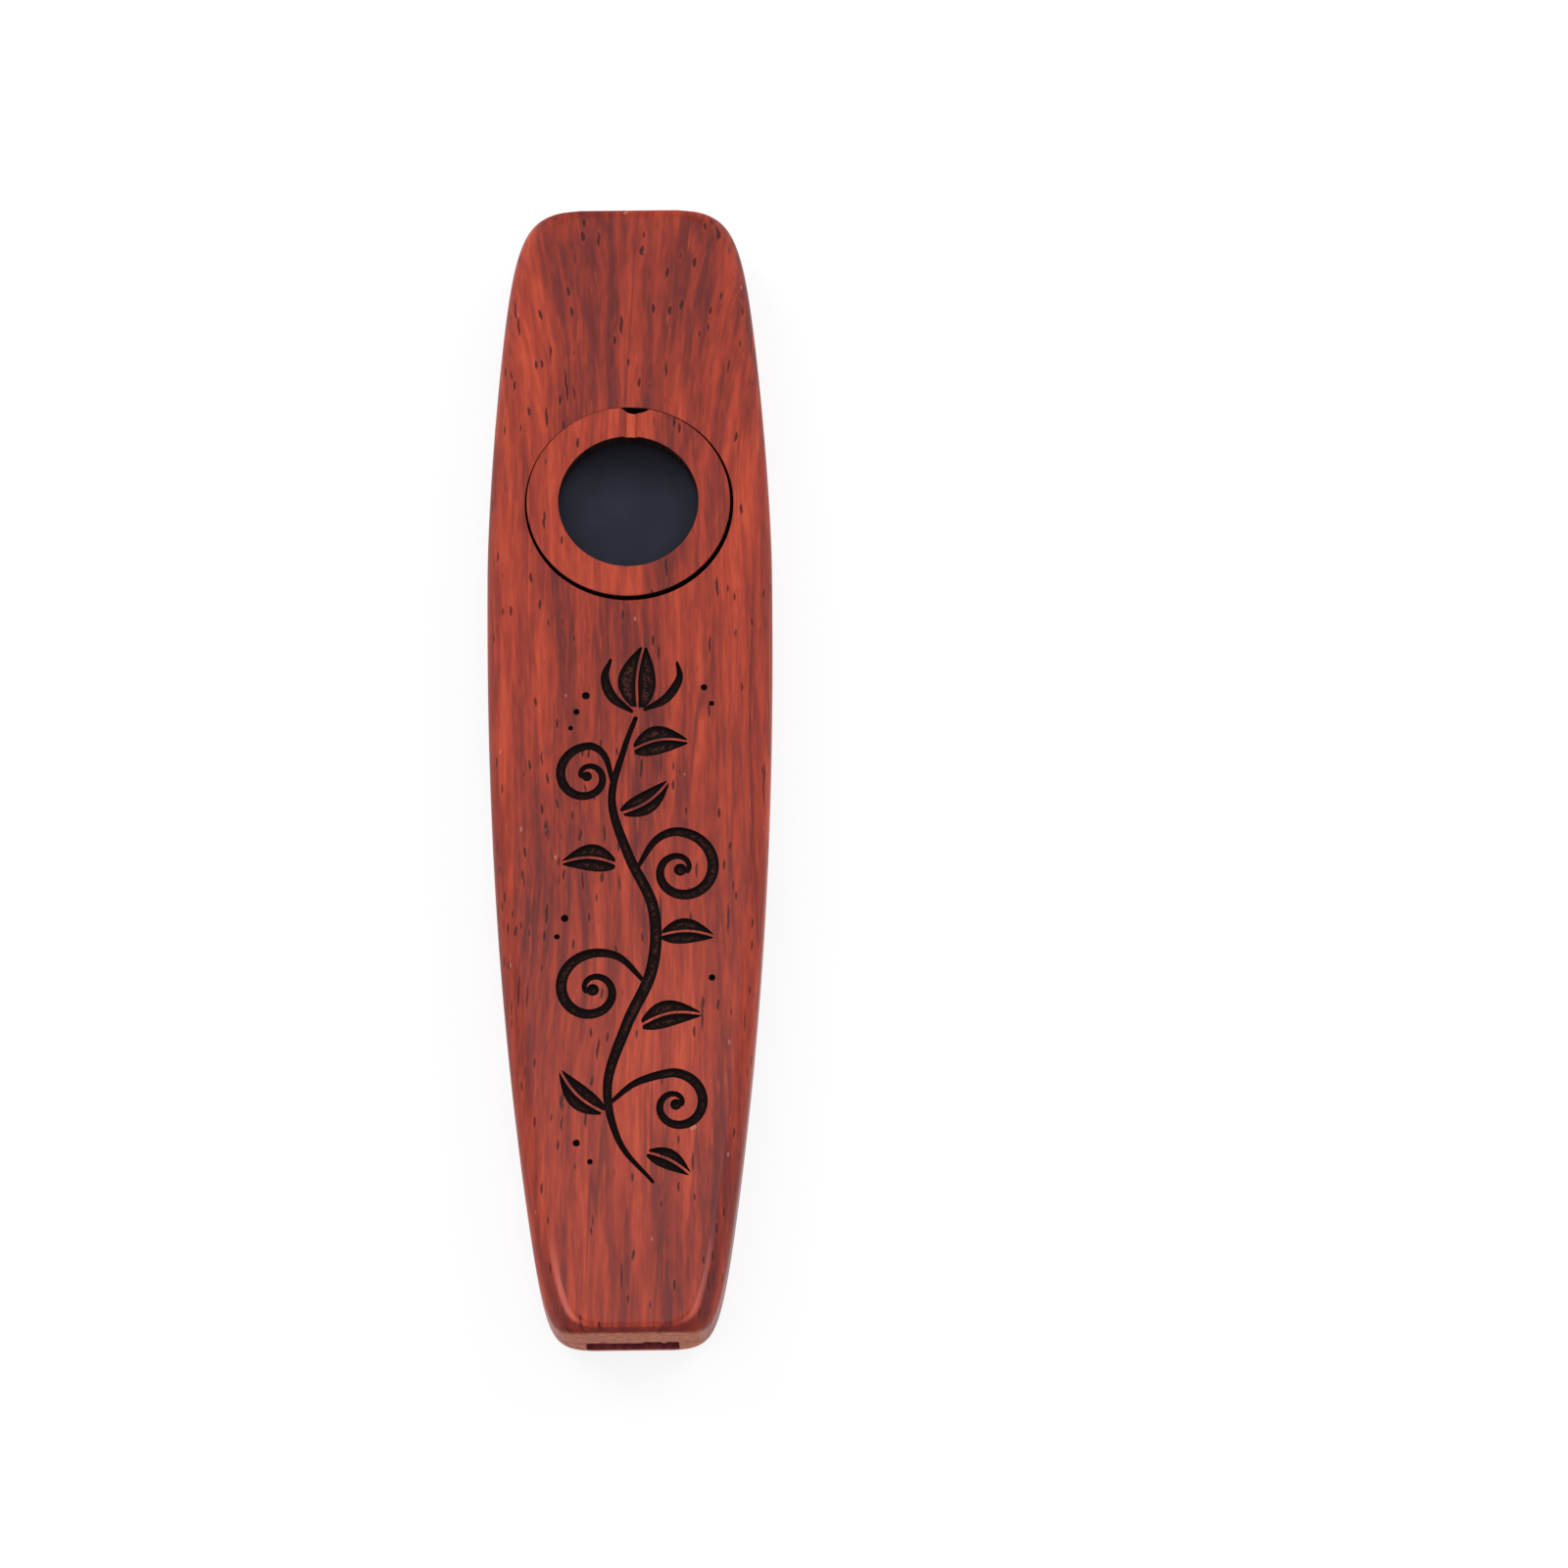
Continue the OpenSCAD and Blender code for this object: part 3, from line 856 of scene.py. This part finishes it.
# the groove's floor is a lighter copy of the ring's wood and its slanted sides a darker one: painted light
# and painted shade in the groove
GROOVE_FLOOR_PAINTED_LIGHT = red_hardwood("groove_floor_painted_light", FACE_Z, RING_PLACE, warmth=0.075, sway=0.3, keep=0.0)
GROOVE_SIDES_PAINTED_SHADE = red_hardwood("groove_sides_painted_shade", FACE_Z, RING_PLACE, warmth=-0.055, sway=0.3, keep=0.0)
BURNT_FLOOR = burnt_floor("burnt_floor")
BURNT_WALL = cut_wall("burnt_wall", BURNT_DARK, BURNT_LIGHT)
CHANNEL_WOOD = cut_wall("channel_wood", CHANNEL_DARK, CHANNEL_LIGHT)
FILM, RIM, NICKEL = dark_film("dark_film"), matt_rim("matt_rim"), nickel("nickel_plate")
print("finishes:", sorted(material.name for material in bpy.data.materials))

# %% [markdown]
# ## Cutting with tools
#
# Where one straight tool passes through a piece, the simplest way is to model the tool and take it away
# with a Boolean. The new faces take the finish of the tool, so a cut can look freshly made.

# %% Cut tools out of a piece
# how far a tool reaches past the piece, so that no skin is left
OVERRUN = 1


def cut_away(piece, tools):
    """Cuts tools out of a piece. The cut faces take the tool's finish."""
    for tool in tools:
        cut = piece.modifiers.new("cut", "BOOLEAN")
        cut.operation, cut.solver, cut.object = "DIFFERENCE", "EXACT", tool
        cut.material_mode = "TRANSFER"
    shaped = bpy.data.meshes.new_from_object(piece.evaluated_get(bpy.context.evaluated_depsgraph_get()))
    piece.modifiers.clear()
    piece.data = shaped
    piece.data.set_sharp_from_angle(angle=CREASE)
    for tool in tools:
        bpy.data.objects.remove(tool)
    print(f"{piece.name} after cutting: {len(shaped.polygons)} faces, {count_open(shaped)} open edges")

# %% [markdown]
# ## The front board
#
# The front board is the thick one. Its seat is a flat-bottomed pocket for the membrane and the ring, with a
# throat through its middle that leads the breath up to the membrane. Four little pockets in the seat's
# floor hold magnets. All of it is turned from circles, so each wall is a band between two circles and each
# floor is a sheet with holes.
#
# Above the slot in the narrow end a few splinters have broken out of the front board. They are small ragged
# wedges with a sloping roof, highest at the end face.

# %% The seat and its pockets
SEAT_R, THROAT_R = 11.07, 7.0
RIM_ROUND = 0.07
GLUE_GAP = 0.05
PIN_POINTS = 32
MAGNET_COUNT = 4
seat_floor_z = rim_low[2]
magnet_low, magnet_high = corners("seat_magnet_1")
magnet_d = magnet_high[0] - magnet_low[0]
pocket_r = magnet_d / 2 + GLUE_GAP
pocket_z = magnet_low[2] - GLUE_GAP


def middles(prefix):
    """The middles of the magnets of one set, as seen from above."""
    return [sum(corners(f"{prefix}_{k}"))[:2] / 2 for k in range(1, MAGNET_COUNT + 1)]

# %% Tools for the splinters
SPLINTERS = [
    # its left and right side, and its height
    (-4.4, -2.6, 0.16),
    (1.0, 3.05, 0.52),
    (3.4, 4.75, 0.46),
]
SPLINTER_STEPS, SPLINTER_DEPTH, SPLINTER_LIP = 9, 0.9, 0.1
SIDE_ROUGH, LEAST_ROUGH, MOST_ROUGH = 0.25, 0.75, 1.1


def splinter_tool(left, right, height):
    """A ragged wedge that takes the lower edge of the front board away at the narrow end."""
    piece = Piece("splinter_tool")
    end = -LENGTH / 2
    loops = []
    for x in np.linspace(left, right, SPLINTER_STEPS):
        rough = SIDE_ROUGH if x in (left, right) else draw.uniform(LEAST_ROUGH, MOST_ROUGH)
        top, deep = JOINT_Z + height * rough, end + SPLINTER_DEPTH * rough
        section = [(end - OVERRUN, JOINT_Z - OVERRUN), (deep, JOINT_Z - OVERRUN), (deep, JOINT_Z),
                   (end + SPLINTER_LIP, top), (end - OVERRUN, top)]
        loops.append(np.array([(x, y, z) for y, z in section]))
    piece.bar(loops)
    return piece

# %% Build the front board
def front_board():
    piece = Piece("engraved_front_board")
    wood, floor, wall = 0, 3, 4
    loops = board_loops(JOINT_Z, FACE_Z)
    piece.band(loops, TURNED)
    seat = (0, SEAT_Y)
    lip = [(SEAT_R + RIM_ROUND * (1 - np.sin(a)), FACE_Z - RIM_ROUND * (1 - np.cos(a)))
           for a in np.radians([0, 30, 60, 90])]
    carve(piece, loops[-1][:, :2], circle(seat, lip[0][0]), CUTS, FACE_Z, wood, floor, wall)
    for profile, finish in ((lip, wood), ([lip[-1], (SEAT_R, seat_floor_z)], wall)):
        piece.band([lifted(circle(seat, radius), z) for radius, z in profile], finish)
    pockets = [circle(middle, pocket_r, PIN_POINTS) for middle in middles("seat_magnet")]
    throat = circle(seat, THROAT_R)
    piece.sheet(circle(seat, SEAT_R), [throat, *pockets], seat_floor_z, floor)
    for pocket in pockets:
        piece.band([lifted(pocket, seat_floor_z), lifted(pocket, pocket_z)], wall)
        piece.sheet(pocket, [], pocket_z, wall)
    piece.band([lifted(throat, seat_floor_z), lifted(throat, JOINT_Z)], wall)
    piece.sheet(loops[0][:, :2], [throat], JOINT_Z, wood)
    made = piece.make([*FRONT_WOODS, BURNT_FLOOR, BURNT_WALL])
    cut_away(made, [splinter_tool(*place).make([CHANNEL_WOOD]) for place in SPLINTERS])
    return made


front = front_board()

# %% [markdown]
# ## The back board
#
# The back board is plain outside. A flat-bottomed channel runs along its joint face from end to end, and
# shows as a slot in the narrow end. The tool is a shade wider at both ends, because the mouth of a milled
# slot always breaks out a bit.

# %% Build the back board
CHANNEL_W, CHANNEL_H, CHANNEL_EASE = 9.2, 2.4, 0.25
BREAKOUT, BREAKOUT_LENGTH, BREAKOUT_LIP = 0.16, 0.35, 0.02
BREAKOUT_DOWN_SHARE = 0.6


def channel_tool():
    """A long bar that cuts the channel, flared at its two ends."""
    piece = Piece("channel_tool")
    half = LENGTH / 2
    flare = [(half + 2 * OVERRUN, BREAKOUT), (half - BREAKOUT_LIP, BREAKOUT), (half - BREAKOUT_LENGTH, 0)]
    loops = []
    for y, wider in [(-y, wider) for y, wider in flare] + flare[::-1]:
        w, low = CHANNEL_W / 2 + wider, JOINT_Z - CHANNEL_H - wider * BREAKOUT_DOWN_SHARE
        side = [(w, JOINT_Z + OVERRUN), (w, low + CHANNEL_EASE), (w - CHANNEL_EASE, low)]
        section = side + [(-x, z) for x, z in side[::-1]]
        loops.append(np.array([(x, y, z) for x, z in section]))
    piece.bar(loops)
    return piece


def back_board():
    piece = Piece("channelled_back_board")
    loops = board_loops(JOINT_Z, back_low[2])
    piece.band(loops, TURNED)
    piece.sheet(loops[0][:, :2], [], JOINT_Z)
    piece.sheet(loops[-1][:, :2], [], back_low[2])
    made = piece.make(BACK_WOODS)
    cut_away(made, [channel_tool().make([CHANNEL_WOOD])])
    return made


back = back_board()

# %% [markdown]
# ## The ring
#
# The ring was cut from thin stock by the same laser, so its walls are black and its edges crisp. At twelve
# o'clock it has a scallop for a fingernail, and a shallow groove with slanted sides runs from there to the
# window. The two don't line up quite. The skin is a band of loops over the ring's outline. The groove and
# the pockets for the magnets are cut afterwards.

# %% The outline of the ring
SCALLOP_W, SCALLOP_DEPTH = 3.4, 0.65
GROOVE_W, GROOVE_DEPTH, GROOVE_SLANT = 0.95, 0.3, 0.32
RING_W = 3.35
GROOVE_START = 2.0
SCALLOP_TURN, RING_TURN = np.radians([-2, -2])
RING_EASE = 0.05
RIM_POINTS, NOTCH_POINTS = 144, 18


def turned_by(angle, points):
    """Flat points turned anticlockwise round the origin."""
    c, s = np.cos(angle), np.sin(angle)
    return points @ np.array([[c, s], [-s, c]])


def ring_outline(smaller):
    """The ring's outer edge with its scallop, drawn in a little, round the origin."""
    scallop_r = ((SCALLOP_W / 2) ** 2 + SCALLOP_DEPTH ** 2) / (2 * SCALLOP_DEPTH)
    middle = RING_D / 2 - SCALLOP_DEPTH + scallop_r
    radius, bite = RING_D / 2 - smaller, scallop_r + smaller
    height = (radius ** 2 - bite ** 2 + middle ** 2) / (2 * middle)
    half = np.sqrt(radius ** 2 - height ** 2)
    outer_from, bite_from = np.arctan2(half, height), np.arctan2(half, middle - height)
    around = np.linspace(outer_from, 2 * np.pi - outer_from, RIM_POINTS)
    across = np.linspace(bite_from, -bite_from, NOTCH_POINTS)[1:-1]
    rim = np.c_[np.sin(around), np.cos(around)] * radius
    notch = np.c_[-np.sin(across), -np.cos(across)] * bite + (0, middle)
    return turned_by(SCALLOP_TURN, np.vstack([rim, notch]))


def at_ring(points):
    """Moves points that are drawn round the origin to where the loose ring lies."""
    points = np.array(points, float)
    points[:, :2] = turned_by(RING_TURN, points[:, :2]) + (RING_X, RING_Y)
    return points

# %% Tools for the ring
def pin_tool(middle, radius, low, high):
    piece = Piece("pin_tool")
    loop = circle(middle, radius, PIN_POINTS)
    piece.band([lifted(loop, low), lifted(loop, high)])
    piece.sheet(loop, [], low)
    piece.sheet(loop, [], high)
    return piece


def groove_tool():
    piece = Piece("groove_tool")
    half, low, high = GROOVE_W / 2, ring_high[2] - GROOVE_DEPTH, ring_high[2] + OVERRUN
    brink = half + GROOVE_SLANT / GROOVE_DEPTH * (high - low)
    section = [(brink, high), (half, low), (-half, low), (-brink, high)]
    loops = [at_ring([(x, y, z) for x, z in section]) for y in (GROOVE_START, RING_D / 2 + OVERRUN)]
    sides, bottom = 1, 0
    piece.bar(loops, [sides, bottom, sides, sides])
    return piece

# %% Build the ring
def ring():
    piece = Piece("scalloped_ring")
    wood, wall = 0, 1
    low, high, window = ring_low[2], ring_high[2], RING_D / 2 - RING_W
    outside = [(RING_EASE, low), (0, low + RING_EASE), (0, high - RING_EASE), (RING_EASE, high)]
    piece.band([lifted(ring_outline(e), z) for e, z in outside[1:3]], wall)
    for pair in (outside[:2], outside[2:]):
        piece.band([lifted(ring_outline(e), z) for e, z in pair], wood)
    hole = circle((0, 0), window)
    eased = circle((0, 0), window + RING_EASE)
    piece.band([lifted(hole, low + RING_EASE), lifted(hole, high - RING_EASE)], wall)
    piece.band([lifted(eased, low), lifted(hole, low + RING_EASE)], wood)
    piece.band([lifted(hole, high - RING_EASE), lifted(eased, high)], wood)
    for z in (low, high):
        piece.sheet(ring_outline(RING_EASE), [eased], z, wood)
    piece.points = at_ring(piece.points)
    made = piece.make([RING_WOOD, BURNT_WALL])
    magnet_z = corners("ring_magnet_1")[1][2]
    pins = [pin_tool(middle, pocket_r, low - OVERRUN, magnet_z + GLUE_GAP).make([BURNT_WALL])
            for middle in middles("ring_magnet")]
    cut_away(made, pins + [groove_tool().make([GROOVE_FLOOR_PAINTED_LIGHT, GROOVE_SIDES_PAINTED_SHADE])])
    return made


loose_ring = ring()

# %% [markdown]
# ## The membrane and the magnets
#
# The film is stretched over a stiff rim, so it dishes very slightly in the middle: that is enough to give
# its reflection a gradient. The magnets are small discs with a ground edge. They only show when the ring is
# lifted.

# %% Build the film, its rim and the magnets
SAG = 0.12
DISH_STEPS = 12
RIM_W = 2.8
FILM_EASE, RIM_EASE, MAGNET_EASE = 0.03, 0.08, 0.1
MAGNET_POINTS = 40


def turned_piece(name, centre, profile, materials, count=128):
    """A solid turned from a profile of radii and heights, from axis to axis or closed on itself."""
    piece = Piece(name)
    solid = profile[0][0] == 0
    body = profile[1:-1] if solid else profile + profile[:1]
    piece.band([lifted(circle(centre, radius, count), z) for radius, z in body])
    if solid:
        for near, tip in ((body[0], profile[0]), (body[-1], profile[-1])):
            loop = lifted(circle(centre, near[0], count), near[1])
            fan = [[k, (k + 1) % count, count] for k in range(count)]
            piece.add(np.vstack([loop, [*centre, tip[1]]]), fan)
    return piece.make(materials)


def film():
    centre, radius, thick = (0, SEAT_Y), (film_high[0] - film_low[0]) / 2, film_high[2] - film_low[2]
    open_r = RING_D / 2 - RING_W
    dish = [(r, film_high[2] - SAG * (1 - (r / open_r) ** 2)) for r in np.linspace(0, open_r, DISH_STEPS)]
    top = dish + [(radius - FILM_EASE, film_high[2]), (radius, film_high[2] - FILM_EASE)]
    bottom = [(r, z - thick) for r, z in reversed(dish)]
    return turned_piece("taut_film", centre, top + [(radius, film_low[2])] + bottom, [FILM])


def stiff_rim():
    outer = (rim_high[0] - rim_low[0]) / 2
    inner, ease, low, high = outer - RIM_W, RIM_EASE, rim_low[2], rim_high[2]
    profile = [(inner, low + ease), (inner + ease, low), (outer - ease, low), (outer, low + ease),
               (outer, high - ease), (outer - ease, high), (inner + ease, high), (inner, high - ease)]
    return turned_piece("film_rim_band", (0, SEAT_Y), profile, [RIM])


def magnet(node):
    low, high = corners(node)
    radius, ease = (high[0] - low[0]) / 2, MAGNET_EASE
    profile = [(0, low[2]), (radius - ease, low[2]), (radius, low[2] + ease), (radius, high[2] - ease),
               (radius - ease, high[2]), (0, high[2])]
    return turned_piece(f"{node}_disc", (low + high)[:2] / 2, profile, [NICKEL], MAGNET_POINTS)


stretched_film, rim_band = film(), stiff_rim()

# %% [markdown]
# ## Putting the pieces on their bodies
#
# The imported model knows three bodies: the glued boards, the loose ring with its magnets, and the membrane
# with its rim. Each dressed piece stands for one piece of the imported model and rides on the same body, so
# the ring can be lifted and everything that belongs to it comes along.

# %% Give each piece even shading, put it on its body and hide the part it replaces
def dress(piece, node, body):
    weighted = piece.modifiers.new("even shading", "WEIGHTED_NORMAL")
    weighted.keep_sharp = True
    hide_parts(node)
    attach(piece, body)


dress(front, "front_board", "kazoo_body")
dress(back, "back_board", "kazoo_body")
dress(loose_ring, "clamp_ring", "ring")
dress(stretched_film, "membrane_film", "membrane")
dress(rim_band, "membrane_rim", "membrane")
for k in range(1, MAGNET_COUNT + 1):
    dress(magnet(f"ring_magnet_{k}"), f"ring_magnet_{k}", "ring")
    dress(magnet(f"seat_magnet_{k}"), f"seat_magnet_{k}", "kazoo_body")

# %% [markdown]
# ## A white studio
#
# The photograph is a catalogue picture: the kazoo lies on pure white in soft, even light. The floor is
# white, and most of its white is its own glow for the camera, so a shadow only just shows. It is there for
# the camera alone: all other light passes it, so the underside of the kazoo is lit by the white world too
# and can be looked at from below.

# %% The floor
FLOOR_HALF, FLOOR_Z = 3000.0, -0.03
PAPER, GLOW = 0.2, 0.82


def white_floor():
    r = Recipe("white_floor")
    seen = r.node("ShaderNodeLightPath").outputs["Is Camera Ray"]
    behind = r.node("ShaderNodeNewGeometry").outputs["Backfacing"]
    shows = r.times(seen, r.math("SUBTRACT", 1.0, behind))
    paper = r.node("ShaderNodeBsdfDiffuse", {0: (PAPER, PAPER, PAPER, 1)})
    glow = r.node("ShaderNodeEmission", {0: (1, 1, 1, 1), 1: GLOW})
    both = r.node("ShaderNodeAddShader", {0: paper.outputs[0], 1: glow.outputs[0]})
    clear = r.node("ShaderNodeBsdfTransparent")
    mix = r.node("ShaderNodeMixShader", {0: shows, 1: clear.outputs[0], 2: both.outputs[0]})
    r.node("ShaderNodeOutputMaterial", {0: mix.outputs[0]})
    return r.material


def lay_floor():
    mesh = bpy.data.meshes.new("studio_floor")
    edge = FLOOR_HALF * MM
    square = [(-edge, -edge), (edge, -edge), (edge, edge), (-edge, edge)]
    mesh.from_pydata([(x, y, FLOOR_Z * MM) for x, y in square], [], [(0, 1, 2, 3)])
    mesh.materials.append(white_floor())
    put_in_scene("studio_floor", mesh)


lay_floor()

# %% The world
WORLD_SHARE = 0.56


def white_world():
    """White to look at, in mirrors too, but dimmer as a source of light."""
    world = bpy.data.worlds.new("white_world")
    world.use_nodes = True
    tree = world.node_tree
    tree.nodes.clear()
    rays = add_node(tree, "ShaderNodeLightPath").outputs
    seen = rays["Is Camera Ray"]
    for ray in ("Is Glossy Ray", "Is Transmission Ray"):
        seen = add_node(tree, "ShaderNodeMath", {0: seen, 1: rays[ray]}, operation="MAXIMUM").outputs[0]
    level = add_node(tree, "ShaderNodeMapRange", {0: seen, 3: WORLD_SHARE, 4: 1.0}).outputs[0]
    sky = add_node(tree, "ShaderNodeBackground", {0: (1, 1, 1, 1), 1: level})
    add_node(tree, "ShaderNodeOutputWorld", {0: sky.outputs[0]})
    bpy.context.scene.world = world


white_world()

# %% [markdown]
# ## The lamps
#
# The light has to be plain, so that a colour renders about as it is written. A white surface facing up
# comes out white when all the light that falls on it adds up to one. The world gives a little over half of
# that, and each lamp has its share of the rest: the power that it needs follows from its distance and its
# slant. A wide lamp gives a bit less than its share, because its edges are farther away. A white card in
# the kazoo's place gets about 1.1 in all.
#
# Two large soft lamps stand low beyond the wide end and put a soft shade on the upper part of the film.
# They are kept out of the reflections, and so is a low one that lights the end face. Three soft boxes hang
# high. The varnish mirrors the left and the right one where the rounds turn the narrow end's corners, as a
# broad soft strip and a thin one, and the middle one as a faint sheen on the lower part of the face.

# %% Soft lamps by their share of the light
LAMP_DISTANCE = 700.0


def soft_lamp(name, toward, share, width, length, mirrored=True):
    """A soft lamp in a direction from the kazoo, with the share of white that it adds on the front face."""
    toward = Vector(toward).normalized()
    light = bpy.data.lights.new(name, "AREA")
    light.shape, light.size, light.size_y = "RECTANGLE", width * MM, length * MM
    light.energy = share * np.pi ** 2 * (LAMP_DISTANCE * MM) ** 2 / toward.z
    lamp = put_in_scene(name, light)
    across = Vector((0, 1, 0)).cross(toward).normalized()
    turn = Matrix((across, toward.cross(across), toward)).transposed().to_4x4()
    lamp.matrix_world = Matrix.Translation(toward * LAMP_DISTANCE * MM) @ turn
    lamp.visible_glossy = mirrored
    print(f"{name}: {light.energy:.2f} W")


# each lamp's direction, its share of white, and its width and length
soft_lamp("beyond_left", (-0.70, 0.56, 0.44), 0.21, 420, 420, mirrored=False)
soft_lamp("beyond_right", (0.70, 0.56, 0.44), 0.21, 420, 420, mirrored=False)
soft_lamp("low_near", (0.0, -0.96, 0.28), 0.04, 420, 160, mirrored=False)
soft_lamp("high_left", (-0.40, -0.06, 0.915), 0.06, 200, 260)
soft_lamp("high_right", (0.19, 0.05, 0.98), 0.04, 126, 224)
soft_lamp("high_middle", (0.02, 0.18, 0.98), 0.04, 260, 180)

# %% [markdown]
# ## The camera
#
# The camera's place was found by fitting a simple pinhole to the outline, the window, the seat and the slot
# of the photograph. It looks down on the face from the narrow end's side, tilted by about twenty degrees,
# from far enough away that the kazoo hardly narrows with distance. It aims to the right of the kazoo, where
# the picture's middle is.

# %% Place the camera
PHOTO_PIXELS = 1600
PIXELS_PER_MM = 9.78
CAMERA_DISTANCE = 618.1
CAMERA_TILT = np.radians(19.8)
CAMERA_TURN = np.radians(-0.67)
AIM = Vector((16.07, -3.88, FACE_Z))
SENSOR = 36.0
NEAREST, FARTHEST = 50.0, 20000.0


def photo_camera():
    camera = bpy.data.cameras.new("photo_camera")
    camera.sensor_width = SENSOR
    camera.lens = SENSOR * PIXELS_PER_MM * CAMERA_DISTANCE / PHOTO_PIXELS
    camera.clip_start, camera.clip_end = NEAREST * MM, FARTHEST * MM
    holder = put_in_scene("photo_camera", camera)
    turn = Matrix.Rotation(CAMERA_TURN, 4, "Z") @ Matrix.Rotation(CAMERA_TILT, 4, "X")
    back = turn @ Vector((0, 0, 1))
    holder.matrix_world = Matrix.Translation((AIM + back * CAMERA_DISTANCE) * MM) @ turn
    bpy.context.scene.camera = holder
    print(f"lens {camera.lens:.1f} mm")


photo_camera()
bpy.context.scene.view_settings.view_transform = "Standard"
